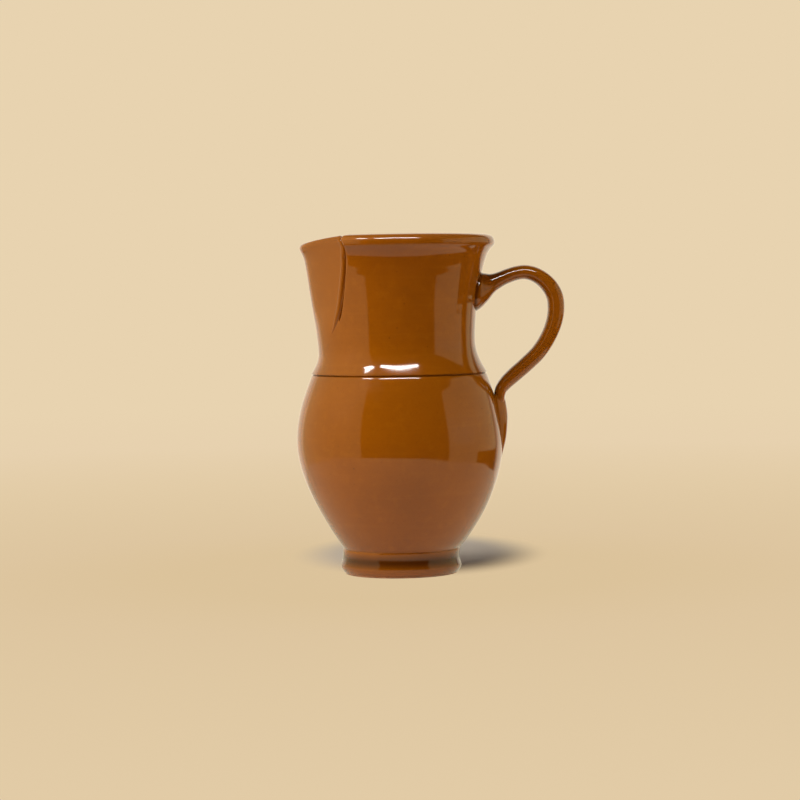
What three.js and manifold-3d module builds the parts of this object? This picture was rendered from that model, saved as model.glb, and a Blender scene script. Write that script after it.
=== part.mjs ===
// A wheel-thrown clay jug: foot, belly and neck on one axis, a beak spout let into the neck, a strap handle.
// Millimetres, +Z up. The origin is on the pot's axis, on its flat base. The spout points to -X.
import * as THREE from "three";
import { mergeVertices } from "three/addons/utils/BufferGeometryUtils.js";
import Module from "manifold-3d";

const wasm = await Module();
wasm.setup();
const mix = THREE.MathUtils.lerp;

// Heights above the base
const jugHeight = 240;
const footHeight = 18;
const flareHeight = 6;
const bellyHeight = 93.5;
const shoulderHeight = 141.7;
const neckHeight = 165.5;

// Outer radii
const baseRadius = 40;
const flareRadius = 42.8;
const footRadius = 41.4;
const bellyRadius = 73;
const shoulderRadius = 62.1;
const neckRadius = 54.9;
const rimRadius = 68.2;

// Walls, the floor, the rolled rim and the two incised rings
const floorThickness = 9;
const footWall = 8.5;
const bellyWall = 5.5;
const neckWall = 5;
const rimHeight = 12;
const rimWidth = 11.5;
const baseRounding = 1.5;
const grooveDepth = 1.2;
const grooveReach = 0.9;

// The spout: half its opening angle at the lip, the height of its point, how far its lip lies below the rim
// and dips between the seams, its reach past the rim and its wall
const spoutHalfAngle = 57;
const spoutFootHeight = 155;
const lipDrop = 0.7;
const lipDip = 4.4;
const lipRounding = 1.3;
const spoutReach = 1.6;
const spoutInset = 4.4;
const spoutWall = 4.6;

// The straight cuts in the neck that the spout fills: their angle to the spout's middle, and how far they run
const cutAngle = 40;
const cutInside = 12;
const cutOutside = 26;

// The roll of clay along each cut
const coilWidth = 3.6;
const coilThickness = 3.4;
const coilFootHeight = 168;

// The handle: where its middle line leaves the neck and meets the belly, how far it stands out and rises
const rootHeight = 203.5;
const tailHeight = 126;
const handleReach = 54;
const handleRise = 8.9;
const strapWidth = 21;
const strapThickness = 11.4;

// The flared lump at the handle's root, and the drawn-out one at its tail, whose end sinks into the belly
const wadLength = 11.5;
const wadWidth = 32;
const wadHeight = 36;
const wadDrop = 5.2;
const padWidth = 26;
const padThickness = 6.3;
const padFootHeight = 71;
const padSink = 3.2;

// Room between a piece and the neighbour whose shape it follows
const clearance = 0.3;

// How finely round shapes are cut into flats
const roundSteps = 60;
const outlineSteps = 9;
const spoutSteps = 18;
const coilSides = 10;
const coilSteps = 16;
const barSides = 16;
const strapSteps = 34;
const wadSteps = 9;
const padSteps = 14;

// Caramel glaze on earthenware
const glaze = { color: 0x8a4f1c, roughness: 0.16, metalness: 0 };

// A closed surface with shared corners, as a solid that can be joined and cut
function solidOf(geometry) {
  const source = geometry.index ? geometry.toNonIndexed() : geometry;
  const bare = new THREE.BufferGeometry().setAttribute("position", source.getAttribute("position"));
  const merged = mergeVertices(bare, 1e-4);
  const triVerts = new Uint32Array(merged.index.array);
  const vertProperties = merged.attributes.position.array;
  return new wasm.Manifold(new wasm.Mesh({ numProp: 3, vertProperties, triVerts }));
}

function geometryOf(solid) {
  const mesh = solid.getMesh();
  const geometry = new THREE.BufferGeometry();
  geometry.setAttribute("position", new THREE.BufferAttribute(mesh.vertProperties, mesh.numProp));
  geometry.setIndex(new THREE.BufferAttribute(mesh.triVerts, 1));
  const faceted = geometry.toNonIndexed();
  faceted.computeVertexNormals();
  return faceted;
}

// A profile of [radius, height] points turned round the pot's axis
function turned(profile) {
  const points = profile.map(([r, z]) => new THREE.Vector2(Math.max(r, 0), z));
  return new THREE.LatheGeometry(points, roundSteps).rotateX(Math.PI / 2);
}

// Points along a smooth line between two [radius, height] points, each with an [angle, strength] of its own
function smoothLine(from, leaving, to, arriving, steps = outlineSteps) {
  const origin = new THREE.Vector2();
  const arrow = ([angle, length]) =>
    new THREE.Vector2(length, 0).rotateAround(origin, THREE.MathUtils.degToRad(angle));
  const start = new THREE.Vector2(...from);
  const end = new THREE.Vector2(...to);
  const afterStart = start.clone().add(arrow(leaving));
  const beforeEnd = end.clone().sub(arrow(arriving));
  const curve = new THREE.CubicBezierCurve(start, afterStart, beforeEnd, end);
  return curve.getPoints(steps).map((p) => [p.x, p.y]);
}

// The radius at a height, on an outline that only rises
function radiusAt(outline, z) {
  const above = Math.max(1, outline.findIndex(([, height]) => height >= z));
  const [r0, z0] = outline[above - 1];
  const [r1, z1] = outline[above];
  return mix(r0, r1, (z - z0) / (z1 - z0));
}

// The inner face of a wall, from its top downwards, on every other height of its outer outline
function innerFace(outline, wallAt) {
  const kept = outline.filter((_, i) => i % 2 === 0 && i > 0 && i < outline.length - 1);
  return kept.map(([r, z]) => [r - wallAt(z), z]).reverse();
}

// A box with directions u, v and w from 0 to 1, bent to a new shape by a function of them
function bentBox(steps, place) {
  const geometry = new THREE.BoxGeometry(1, 1, 1, ...steps);
  const position = geometry.attributes.position;
  for (let i = 0; i < position.count; i += 1) {
    const p = place(position.getX(i) + 0.5, position.getY(i) + 0.5, position.getZ(i) + 0.5);
    position.setXYZ(i, p.x, p.y, p.z);
  }
  return geometry;
}

// A closed rod, bent by a function of the share of its length and of its round section's two coordinates
function bentRod(sides, steps, place) {
  const geometry = new THREE.CylinderGeometry(1, 1, 1, sides, steps);
  const position = geometry.attributes.position;
  for (let i = 0; i < position.count; i += 1) {
    const p = place(position.getY(i) + 0.5, position.getX(i), position.getZ(i));
    position.setXYZ(i, p.x, p.y, p.z);
  }
  return geometry;
}

// A rod along a curve in the XZ plane, with an oval section that may change along it
function bar(path, steps, from, to, halfThick, halfWide) {
  const across = new THREE.Vector3(0, 1, 0);
  return bentRod(barSides, steps, (along, x, y) => {
    const t = mix(from, to, along);
    const centre = path.getPointAt(t);
    const outwards = new THREE.Vector3().crossVectors(path.getTangentAt(t), across).normalize();
    centre.addScaledVector(outwards, x * halfThick(along));
    return centre.addScaledVector(across, y * halfWide(along));
  });
}

// Outer outlines of the three thrown sections, each from its foot upwards
const footOutline = [
  [baseRadius, 0],
  [mix(baseRadius, flareRadius, 0.6), baseRounding],
  [flareRadius, flareHeight],
  [mix(flareRadius, footRadius, 0.8), mix(flareHeight, footHeight, 0.45)],
  [footRadius, mix(flareHeight, footHeight, 0.75)],
  [footRadius, footHeight - grooveReach],
  [footRadius - grooveDepth, footHeight],
];

const bellyFoot = [footRadius, footHeight + grooveReach];
const bellyMiddle = [bellyRadius, bellyHeight];
const bellyTop = [shoulderRadius, shoulderHeight - grooveReach];
const bellyOutline = [
  ...smoothLine(bellyFoot, [62, 14], bellyMiddle, [90, 34]),
  ...smoothLine(bellyMiddle, [90, 12], bellyTop, [116, 19]).slice(1),
];

const neckFoot = [shoulderRadius, shoulderHeight + grooveReach];
const neckWaist = [neckRadius, neckHeight];
const neckTop = [rimRadius - rimWidth * 0.4, jugHeight - rimHeight];
const neckOutline = [
  ...smoothLine(neckFoot, [109, 11], neckWaist, [90, 11], 6),
  ...smoothLine(neckWaist, [90, 8], neckTop, [42, 10], 8).slice(1),
];

// The rolled rim, over from the neck's outer face to its inner one: shares of its width inwards and of its
// height downwards
const rimShares = [
  [0.14, 0.87],
  [0, 0.6],
  [0.03, 0.4],
  [0.16, 0.24],
  [0.42, 0.1],
  [0.76, 0],
  [0.95, 0.1],
  [1, 0.3],
];
const rimPoint = ([inwards, down]) => [rimRadius - rimWidth * inwards, jugHeight - rimHeight * down];
const rimOutline = rimShares.map(rimPoint);
const rimCrest = rimShares.findIndex(([, down]) => down === 0);

// The foot with the floor of the pot
function foot() {
  const bowlEdge = [footRadius - footWall, footHeight];
  const bowl = smoothLine(bowlEdge, [225, 8], [0, floorThickness], [180, 20], 6);
  return turned([[0, 0], ...footOutline, ...bowl]);
}

// The belly, open at both ends, with a wall that thins upwards from the foot
function belly() {
  const thinFrom = mix(footHeight, bellyHeight, 0.6);
  const thinning = (z) => THREE.MathUtils.smoothstep(z, footHeight, thinFrom);
  const inner = innerFace(bellyOutline, (z) => mix(footWall, bellyWall, thinning(z)));
  const bottom = [
    [footRadius - footWall, footHeight],
    [footRadius - grooveDepth, footHeight],
  ];
  const top = [
    [shoulderRadius - grooveDepth, shoulderHeight],
    [shoulderRadius - bellyWall, shoulderHeight],
  ];
  return turned([...bottom, ...bellyOutline, ...top, ...inner, bottom[0]]);
}

// A point on a ring round the axis, by its angle from the spout's middle, in radians
const ringPoint = (angle, r, z) => new THREE.Vector3(-r * Math.cos(angle), r * Math.sin(angle), z);

// How far up the spout a height is. It stays a little over 0, which leaves the spout's point blunt.
const lipHeight = jugHeight - lipDrop;
function spoutShare(z) {
  const share = (z - spoutFootHeight) / (lipHeight - spoutFootHeight);
  return THREE.MathUtils.clamp(share, 0.002, 1);
}

// The seam between spout and neck: its angle from the spout's middle, and the spout's outer radius there
const seamAngle = (z) => THREE.MathUtils.degToRad(spoutHalfAngle) * spoutShare(z) ** 0.27;
const seamRadius = (z) => mix(neckRadius, rimRadius - spoutInset, spoutShare(z) ** 2.2);

// The rows that the spout and its opening share, close together at the point and wider apart above
const seamRow = (step) => mix(spoutFootHeight, lipHeight, (step / spoutSteps) ** 1.8);

// The way out along the cut at the front (-1) or the back (1), or part of the way between the two
const wayOut = (side) => ringPoint(THREE.MathUtils.degToRad(cutAngle) * side, 1, 0);

// Everything between the two cuts, from just inside the neck to well outside it, with room on every side
function opening(room) {
  const rows = spoutSteps + 1;
  return bentBox([2, rows, 1], (u, v, w) => {
    const side = Math.round(2 * u - 1);
    const step = Math.round(v * rows);
    const z = step === rows ? jugHeight + rimHeight : seamRow(step);
    const sideways = new THREE.Vector3(0, 0, -side).cross(wayOut(side));
    return ringPoint(seamAngle(z) * side, seamRadius(z), z - room)
      .addScaledVector(wayOut(side), mix(cutOutside, -cutInside, w))
      .addScaledVector(sideways, room);
  });
}

// The neck with its rolled rim, cut away for the spout
function neck() {
  const inner = innerFace(neckOutline, () => neckWall);
  const bottom = [
    [shoulderRadius - bellyWall, shoulderHeight],
    [shoulderRadius - grooveDepth, shoulderHeight],
  ];
  const whole = turned([...bottom, ...neckOutline, ...rimOutline, ...inner, bottom[0]]);
  return solidOf(whole).subtract(solidOf(opening(clearance)));
}

// The beak: u from seam to seam, v from its point up to its lip, w in through its wall
function spout(room = 0, sideRoom = 0) {
  return bentBox([spoutSteps, spoutSteps, 3], (u, v, w) => {
    const across = (2 * u - 1) * (1 + sideRoom);
    const nearSeam = Math.min(Math.abs(across), 1) ** 1.5;
    const roundedEdge = v > 0.999 && Math.abs(w - 0.5) > 0.499;
    const dip = lipDip * (1 - nearSeam) + (roundedEdge ? lipRounding : 0) - room;
    const z = seamRow(v * spoutSteps) - dip * v ** 1.8;
    const share = spoutShare(z);
    const standing = 0.05 + 0.75 * share + 0.2 * share ** 7;
    const tipRadius = mix(neckRadius, rimRadius + spoutReach, standing);
    const seam = ringPoint(seamAngle(z), seamRadius(z), z);
    const face = new THREE.Vector3(mix(-tipRadius, seam.x, nearSeam), seam.y * across, z);
    return face.addScaledVector(wayOut(across), room - spoutWall * w);
  });
}

// The roll of clay worked into one seam, on the spout's side of it: front (-1) or back (1)
function seamCoil(side) {
  const guides = 8;
  const centres = Array.from({ length: guides + 1 }, (_, i) => {
    const z = mix(coilFootHeight, lipHeight - coilThickness, i / guides);
    const inset = (coilWidth + clearance) / 2;
    const angle = seamAngle(z) - inset / seamRadius(z);
    return ringPoint(side * angle, seamRadius(z) + coilThickness * 0.1, z);
  });
  const path = new THREE.CatmullRomCurve3(centres);
  const roll = bentRod(coilSides, coilSteps, (along, x, y) => {
    const centre = path.getPointAt(along);
    const outwards = new THREE.Vector3(centre.x, centre.y, 0).normalize();
    const sideways = new THREE.Vector3().crossVectors(path.getTangentAt(along), outwards).normalize();
    const fullness = Math.min(1, 0.35 + along * 3);
    centre.addScaledVector(sideways, (x * fullness * coilWidth) / 2);
    return centre.addScaledVector(outwards, (y * fullness * coilThickness) / 2);
  });
  return solidOf(roll).intersect(solidOf(opening(0))).subtract(solidOf(spout(clearance, 0.06)));
}

// The whole pot as one filled shape, with room all round, for trimming what sits on it
function filledPot(room) {
  const rim = rimOutline.slice(0, rimCrest + 1);
  const outline = [...footOutline, ...bellyOutline, ...neckOutline, ...rim];
  const grown = outline.map(([r, z]) => [r + room, z]);
  const base = [
    [0, -room],
    [baseRadius + room, -room],
  ];
  return solidOf(turned([...base, ...grown, [0, jugHeight + room]]));
}

// The strap's middle line: out and up from the neck, over to its farthest point, and back down to the belly.
// Each guide is a share of the reach out from the pot and a share of the rise, or of the height to the tail.
const rootRadius = radiusAt(neckOutline, rootHeight);
const tailRadius = radiusAt(bellyOutline, tailHeight) + strapThickness * 0.28;
const farthest = rootRadius + handleReach;
const upperGuides = [
  [-0.08, -0.12],
  [0.27, 0.47],
  [0.587, 1],
  [0.877, 0.12],
];
const lowerGuides = [
  [1, 0.8],
  [0.88, 0.542],
  [0.58, 0.324],
  [0.232, 0.161],
  [0.04, 0.054],
  [0, 0],
  [0.01, -0.1],
];
const strapPoints = [
  ...upperGuides.map(([out, up]) => [mix(rootRadius, farthest, out), rootHeight + handleRise * up]),
  ...lowerGuides.map(([out, up]) => [mix(tailRadius, farthest, out), mix(tailHeight, rootHeight, up)]),
].map(([x, z]) => new THREE.Vector3(x, 0, z));
const strapPath = new THREE.CatmullRomCurve3(strapPoints, false, "centripetal");
const strapLength = strapPath.getLength();
const wadEnd = (rootRadius + wadLength - strapPoints[0].x) / strapLength;
const halfThickness = strapThickness / 2;
const halfWidth = strapWidth / 2;

// A block that fills the space at the tail above (1) or below (-1) a level
function levelBlock(level, direction) {
  const block = new THREE.BoxGeometry(strapLength, strapLength, strapLength);
  return solidOf(block.translate(tailRadius, 0, level + (direction * strapLength) / 2));
}

function handle() {
  const start = wadEnd + clearance / strapLength;
  const strap = bar(strapPath, strapSteps, start, 1, () => halfThickness, () => halfWidth);
  return solidOf(strap).subtract(levelBlock(tailHeight, -1)).subtract(filledPot(clearance));
}

// The lump that opens from the strap's section to a tall oval on the neck, reaching lower than it does higher
function handleRootWad() {
  const path = new THREE.LineCurve3(strapPath.getPointAt(0), strapPath.getPointAt(wadEnd));
  const flare = (along) => (1 - along) ** 1.5;
  const halfThick = (along) => mix(halfThickness, wadHeight / 2, flare(along));
  const halfWide = (along) => mix(halfWidth, wadWidth / 2, flare(along));
  const wad = bar(path, wadSteps, 0, 1, halfThick, halfWide);
  const position = wad.attributes.position;
  for (let i = 0; i < position.count; i += 1) {
    const along = (position.getX(i) - path.v1.x) / (path.v2.x - path.v1.x);
    const drop = wadDrop * flare(THREE.MathUtils.clamp(along, 0, 1));
    position.setZ(i, position.getZ(i) - drop);
  }
  return solidOf(wad).subtract(filledPot(clearance));
}

// The lump that the strap ends on, drawn out to nothing down the belly
function handleTailPad() {
  const guides = 8;
  const centres = Array.from({ length: guides + 1 }, (_, i) => {
    const along = i / guides;
    const z = mix(tailHeight + padThickness, padFootHeight, along);
    return new THREE.Vector3(radiusAt(bellyOutline, z) - padSink * along ** 4, 0, z);
  });
  const path = new THREE.CatmullRomCurve3(centres);
  const fullest = 0.26;
  const past = (along) => Math.max(0, (along - fullest) / (1 - fullest));
  const thinning = (along) => 1 - 0.9 * THREE.MathUtils.smoothstep(past(along), 0, 1) ** 0.8;
  const widening = (along) => mix(0.8, 1, Math.min(1, along / fullest));
  const narrowing = (along) => 1 - 0.85 * past(along) ** 1.3;
  const halfThick = (along) => padThickness * thinning(along);
  const halfWide = (along) => (padWidth / 2) * widening(along) * narrowing(along);
  const pad = solidOf(bar(path, padSteps, 0, 1, halfThick, halfWide));
  return pad.subtract(levelBlock(tailHeight - clearance, 1)).subtract(filledPot(clearance));
}

const jug = new THREE.Group();
function add(name, geometry) {
  const mesh = new THREE.Mesh(geometry, new THREE.MeshStandardMaterial(glaze));
  mesh.name = name;
  jug.add(mesh);
}

add("foot", foot());
add("belly", belly());
add("neck", geometryOf(neck()));
add("spout", spout());
add("spout_seam_coil_front", geometryOf(seamCoil(-1)));
add("spout_seam_coil_back", geometryOf(seamCoil(1)));
add("handle", geometryOf(handle()));
add("handle_root_wad", geometryOf(handleRootWad()));
add("handle_tail_pad", geometryOf(handleTailPad()));

export default jug;
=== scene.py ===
import math

import bpy
import numpy as np
from mathutils import Matrix, Vector, geometry, kdtree, noise


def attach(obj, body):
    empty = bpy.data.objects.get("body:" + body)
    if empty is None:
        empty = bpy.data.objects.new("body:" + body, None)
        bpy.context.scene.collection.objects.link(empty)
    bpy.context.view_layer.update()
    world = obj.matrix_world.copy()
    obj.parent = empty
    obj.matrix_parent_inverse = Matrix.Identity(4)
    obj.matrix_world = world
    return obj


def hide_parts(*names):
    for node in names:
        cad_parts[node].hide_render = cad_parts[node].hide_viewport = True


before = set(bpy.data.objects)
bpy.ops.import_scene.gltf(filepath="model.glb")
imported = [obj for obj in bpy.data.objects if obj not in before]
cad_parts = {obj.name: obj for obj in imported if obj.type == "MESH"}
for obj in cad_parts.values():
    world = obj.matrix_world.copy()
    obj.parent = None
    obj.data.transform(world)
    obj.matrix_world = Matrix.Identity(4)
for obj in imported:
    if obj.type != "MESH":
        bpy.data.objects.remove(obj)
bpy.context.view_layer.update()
mm = 0.001  # every size below is in millimetres, as the potter would take it
print("frame loaded:", len(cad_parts), "nodes")


# Lines and tables

def smoothStep(value, low, high):
    share = np.clip((value - low) / (high - low), 0, 1)
    return share * share * (3 - 2 * share)


def along(table, where):
    # A smooth value between the rows of a table of (place, value)
    x, y = np.array(table, float).T
    slope = np.gradient(y, x)
    i = np.clip(np.searchsorted(x, where) - 1, 0, len(x) - 2)
    step = x[i + 1] - x[i]
    t = np.clip((where - x[i]) / step, 0, 1)
    before = y[i] * (1 + 2 * t) * (1 - t) ** 2 + slope[i] * step * t * (1 - t) ** 2
    return before + y[i + 1] * t * t * (3 - 2 * t) + slope[i + 1] * step * t * t * (t - 1)


def curveLine(start, leaving, end, arriving, steps):
    # A smooth line of (radius, height) points, left and met at an angle with a pull
    def arrow(angle, pull):
        return Vector((math.cos(math.radians(angle)), math.sin(math.radians(angle)))) * pull
    a, d = Vector(start), Vector(end)
    points = geometry.interpolate_bezier(a, a + arrow(*leaving), d - arrow(*arriving), d, steps + 1)
    return [(p.x, p.y) for p in points]


def lineThrough(points, count):
    # Evenly spaced points on a smooth line through the given ones
    points = np.array(points, float)
    steps = np.hypot(*np.diff(points[:, :2], axis=0).T)
    places = np.concatenate([[0], np.cumsum(steps)])
    fine = np.linspace(0, places[-1], count)
    return np.column_stack([along(np.column_stack([places, column]), fine) for column in points.T])


# Modelling steps that several pieces share

def startPiece(name):
    piece = bpy.context.object
    piece.name = name
    piece.data.name = name
    return piece


def drawProfile(name, points):
    # One point, extruded from each place of the profile to the next
    bpy.ops.object.select_all(action="DESELECT")
    r, z = points[0]
    bpy.ops.mesh.primitive_plane_add(size=mm, location=(r * mm, 0, z * mm))
    piece = startPiece(name)
    bpy.ops.object.transform_apply()
    bpy.ops.object.mode_set(mode="EDIT")
    bpy.ops.mesh.merge(type="CENTER")
    for (r0, z0), (r1, z1) in zip(points, points[1:]):
        shift = ((r1 - r0) * mm, 0, (z1 - z0) * mm)
        bpy.ops.mesh.extrude_region_move(TRANSFORM_OT_translate={"value": shift})
    return piece


def turnOnWheel(piece, steps):
    bpy.ops.mesh.select_all(action="SELECT")
    bpy.ops.mesh.spin(steps=steps, angle=math.tau, center=(0, 0, 0), axis=(0, 0, 1))
    bpy.ops.mesh.select_all(action="SELECT")
    bpy.ops.mesh.remove_doubles(threshold=mm * 0.001)
    bpy.ops.object.mode_set(mode="OBJECT")


def rollClay(name, sides, steps):
    # A rod with a round section 1 mm in radius and a ring at every millimetre of its height
    bpy.ops.object.select_all(action="DESELECT")
    bpy.ops.mesh.primitive_circle_add(vertices=sides, radius=mm, fill_type="NGON")
    piece = startPiece(name)
    bpy.ops.object.mode_set(mode="EDIT")
    bpy.ops.mesh.select_all(action="SELECT")
    for _ in range(steps):
        bpy.ops.mesh.extrude_region_move(TRANSFORM_OT_translate={"value": (0, 0, mm)})
    bpy.ops.object.mode_set(mode="OBJECT")
    return piece


def shape(piece, rule):
    # Moves every point by a rule on the array of all points, in millimetres
    points = np.empty(len(piece.data.vertices) * 3, np.float32)
    piece.data.vertices.foreach_get("co", points)
    moved = rule(points.reshape(-1, 3).astype(float) / mm) * mm
    piece.data.vertices.foreach_set("co", moved.astype(np.float32).ravel())
    piece.data.update()


handWork = {
    "oval": 0.16,
    "twist": 60,           # how slowly the oval turns upwards
    "unevenness": 0.12,
    "size": 55,            # breadth of the uneven places
    "settled": (2, 30),    # radii between which it all sets in
    # Height, and how far the pot leans towards the handle there
    "drift": [
        (0, 0), (14, 0), (22, 1.0), (32, 1.5), (44, 1.6), (52, 1.4), (60, 1.1), (75, 0.6), (95, 0),
        (118, 0), (132, 0.5), (148, 0.5), (160, 0.1), (175, 0), (200, 0), (222, 0.5), (240, 0.5),
    ],
}


def workByHand(points):
    # The slight lean and unevenness of a hand-thrown pot, the same for every piece at the same place
    h = handWork
    radius = np.hypot(points[:, 0], points[:, 1])
    turn = np.arctan2(points[:, 1], points[:, 0])
    swing = h["oval"] * np.cos(2 * turn + points[:, 2] / h["twist"])
    uneven = np.array([noise.noise(Vector(p) / h["size"]) for p in points])
    push = (swing + h["unevenness"] * uneven * 2) * smoothStep(radius, *h["settled"]) / np.maximum(radius, 1)
    moved = points.copy()
    moved[:, :2] *= 1 + push[:, None]
    moved[:, 0] += along(h["drift"], points[:, 2])
    return moved


def finishPiece(piece, node, material, sharpAngle=40):
    # Closes seams and poles, turns the faces outwards, smooths, and hands the piece over to the frame
    bpy.ops.object.select_all(action="DESELECT")
    piece.select_set(True)
    bpy.context.view_layer.objects.active = piece
    bpy.ops.object.mode_set(mode="EDIT")
    bpy.ops.mesh.select_all(action="SELECT")
    bpy.ops.mesh.remove_doubles(threshold=mm * 0.004)
    bpy.ops.mesh.normals_make_consistent(inside=False)
    bpy.ops.object.mode_set(mode="OBJECT")
    shape(piece, workByHand)
    bpy.ops.object.shade_smooth_by_angle(angle=math.radians(sharpAngle))
    piece.data.materials.clear()
    piece.data.materials.append(material)
    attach(piece, "root")
    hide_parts(node)
    print(f"{piece.name}: {len(piece.data.polygons)} faces, stands for {node}")


# Materials

def newMaterial(name):
    material = bpy.data.materials.new(name)
    material.use_nodes = True
    material.node_tree.nodes.clear()
    return material, material.node_tree


def addNode(tree, kind, settings=None, **inputs):
    node = tree.nodes.new("ShaderNode" + kind)
    for key, value in (settings or {}).items():
        setattr(node, key, value)
    for key, value in inputs.items():
        numbered = key.startswith("in") and key[2:].isdigit()  # in0, in1 and so on go by place
        socket = node.inputs[int(key[2:])] if numbered else node.inputs[key]
        if isinstance(value, bpy.types.NodeSocket):
            tree.links.new(value, socket)
        else:
            socket.default_value = value
    return node


def doMath(tree, operation, *values):
    inputs = {f"in{i}": value for i, value in enumerate(values)}
    return addNode(tree, "Math", {"operation": operation}, **inputs).outputs[0]


def rampUp(tree, value, low, high, to=1.0):
    ranged = addNode(tree, "MapRange", {"interpolation_type": "SMOOTHSTEP"}, Value=value)
    for key, number in {"From Min": low, "From Max": high, "To Min": 0.0, "To Max": to}.items():
        ranged.inputs[key].default_value = number
    return ranged.outputs["Result"]


def bandAt(tree, value, centre, reach, to=1.0):
    # 1 at a height, falling to 0 at a reach above and below it
    away = doMath(tree, "ABSOLUTE", doMath(tree, "SUBTRACT", value, centre))
    return doMath(tree, "SUBTRACT", to, rampUp(tree, away, 0.0, reach, to))


def blendColour(tree, share, first, second):
    mixer = addNode(tree, "Mix", {"data_type": "RGBA"})
    for socket, value in ((mixer.inputs[0], share), (mixer.inputs[6], first), (mixer.inputs[7], second)):
        if isinstance(value, bpy.types.NodeSocket):
            tree.links.new(value, socket)
        else:
            socket.default_value = value if isinstance(value, float) else (*value, 1.0)
    return mixer.outputs[2]


def noiseAt(tree, place, scale, detail=2.0, roughness=0.5, stretch=None):
    if stretch:
        place = addNode(tree, "Mapping", Vector=place, Scale=stretch).outputs[0]
    pattern = addNode(tree, "TexNoise", Vector=place, Scale=scale, Detail=detail, Roughness=roughness)
    return pattern.outputs["Fac"]


glazeLook = {
    "middle": (0.250, 0.0680, 0.0010),
    "deep": (0.186, 0.0475, 0.0006),
    "pale": (0.311, 0.0950, 0.0030),
    # Dark glaze pooled in the grooves, also used as painted shade on the foot under the belly and in the
    # crease at the handle's root
    "pooledAndShade": (0.050, 0.012, 0.0008),
    "thin": (0.330, 0.104, 0.0140),
    "iron": (0.050, 0.016, 0.0020),
    "bareClay": (0.47, 0.225, 0.115),
    "bareGrain": (0.30, 0.125, 0.060),
    "roughness": 0.075,
    "iorOfGlass": 1.5,
}
glazeKinds = {
    # How strong clouds, patches and mottling are, and how high the surface's marks stand, in metres
    "turned": {
        "clouds": 0.30, "patches": 0.22, "mottling": 0.30,
        "stretch": (7.0, 7.0, 260.0), "rings": 0.000013, "peel": 0.000012, "waves": 0.00003,
    },
    "formed": {
        "clouds": 0.15, "patches": 0.14, "mottling": 0.12,
        "stretch": (60.0, 60.0, 60.0), "rings": 0.00001, "peel": 0.000004, "waves": 0.00002,
    },
}
wheelMarks = {
    # Middle height, reach above and below it, and strength
    "thinFoot": (0.0060, 0.0014, 0.30),
    "shoulderRing": (0.14205, 0.0013, 0.70),
    "waistLine": (0.0180, 0.0009, 0.25),
    # Painted shade over the foot and its waist under the belly's overhang, where the glaze also lies a
    # little thicker
    "waistBand": (0.0108, 0.0078, 0.95),
    # Where a mark starts and where it is full
    "thinTop": (0.2340, 0.2385, 0.50),
    "outsideShoulder": (0.0592, 0.0606),
    "outsideWaist": (0.0385, 0.0400),
}
# Painted shade in the crease where the handle's root meets the neck, with some pooled glaze
rootCreaseShade = {
    "wallSlope": 0.15,     # the neck's wall under the handle's root, as a straight line
    "wallFoot": 0.0283,
    "fromWall": (0.0004, 0.0026),
    "height": (0.181, 0.186),
    "handleSide": (0.030, 0.034),
    "strength": 0.5,
}


def addWheelMarks(tree, place, height, radius, colour):
    # What only a piece turned on the wheel shows: fine streaks, the shoulder ring, thin glaze on its edges,
    # the line at the waist, and painted shade over the foot under the belly
    look, marks = glazeLook, wheelMarks
    streaks = noiseAt(tree, place, 1.0, 3.0, 0.6, stretch=(14.0, 14.0, 420.0))
    colour = blendColour(tree, rampUp(tree, streaks, 0.50, 0.75, 0.16), colour, look["pale"])
    thinTop = rampUp(tree, height, *marks["thinTop"])
    thinFoot = bandAt(tree, height, *marks["thinFoot"])
    colour = blendColour(tree, doMath(tree, "MAXIMUM", thinTop, thinFoot), colour, look["thin"])
    onWall = rampUp(tree, radius, *marks["outsideShoulder"])
    strength = rampUp(tree, noiseAt(tree, place, 22.0, 1.0), 0.25, 0.62, 0.45)
    shoulder = doMath(tree, "MULTIPLY", bandAt(tree, height, *marks["shoulderRing"]), onWall)
    shoulder = doMath(tree, "MULTIPLY", shoulder, doMath(tree, "ADD", strength, 0.5))
    # The line at the waist, and painted shade over the foot and its waist under the belly
    line = bandAt(tree, height, *marks["waistLine"])
    waist = doMath(tree, "MAXIMUM", line, bandAt(tree, height, *marks["waistBand"]))
    waist = doMath(tree, "MULTIPLY", waist, rampUp(tree, radius, *marks["outsideWaist"]))
    return blendColour(tree, doMath(tree, "MAXIMUM", shoulder, waist), colour, look["pooledAndShade"])


def addRootCreaseShade(tree, outwards, height, radius, colour):
    # Painted shade in the crease where the handle's root meets the neck, with some dark pooled glaze
    marks = rootCreaseShade
    wall = doMath(tree, "MULTIPLY_ADD", height, marks["wallSlope"], marks["wallFoot"])
    away = doMath(tree, "SUBTRACT", radius, wall)
    near = doMath(tree, "SUBTRACT", 1.0, rampUp(tree, away, *marks["fromWall"]))
    near = doMath(tree, "MULTIPLY", near, rampUp(tree, height, *marks["height"]))
    near = doMath(tree, "MULTIPLY", near, rampUp(tree, outwards, *marks["handleSide"]))
    return blendColour(tree, doMath(tree, "MULTIPLY", near, marks["strength"]), colour, glazeLook["pooledAndShade"])


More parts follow.
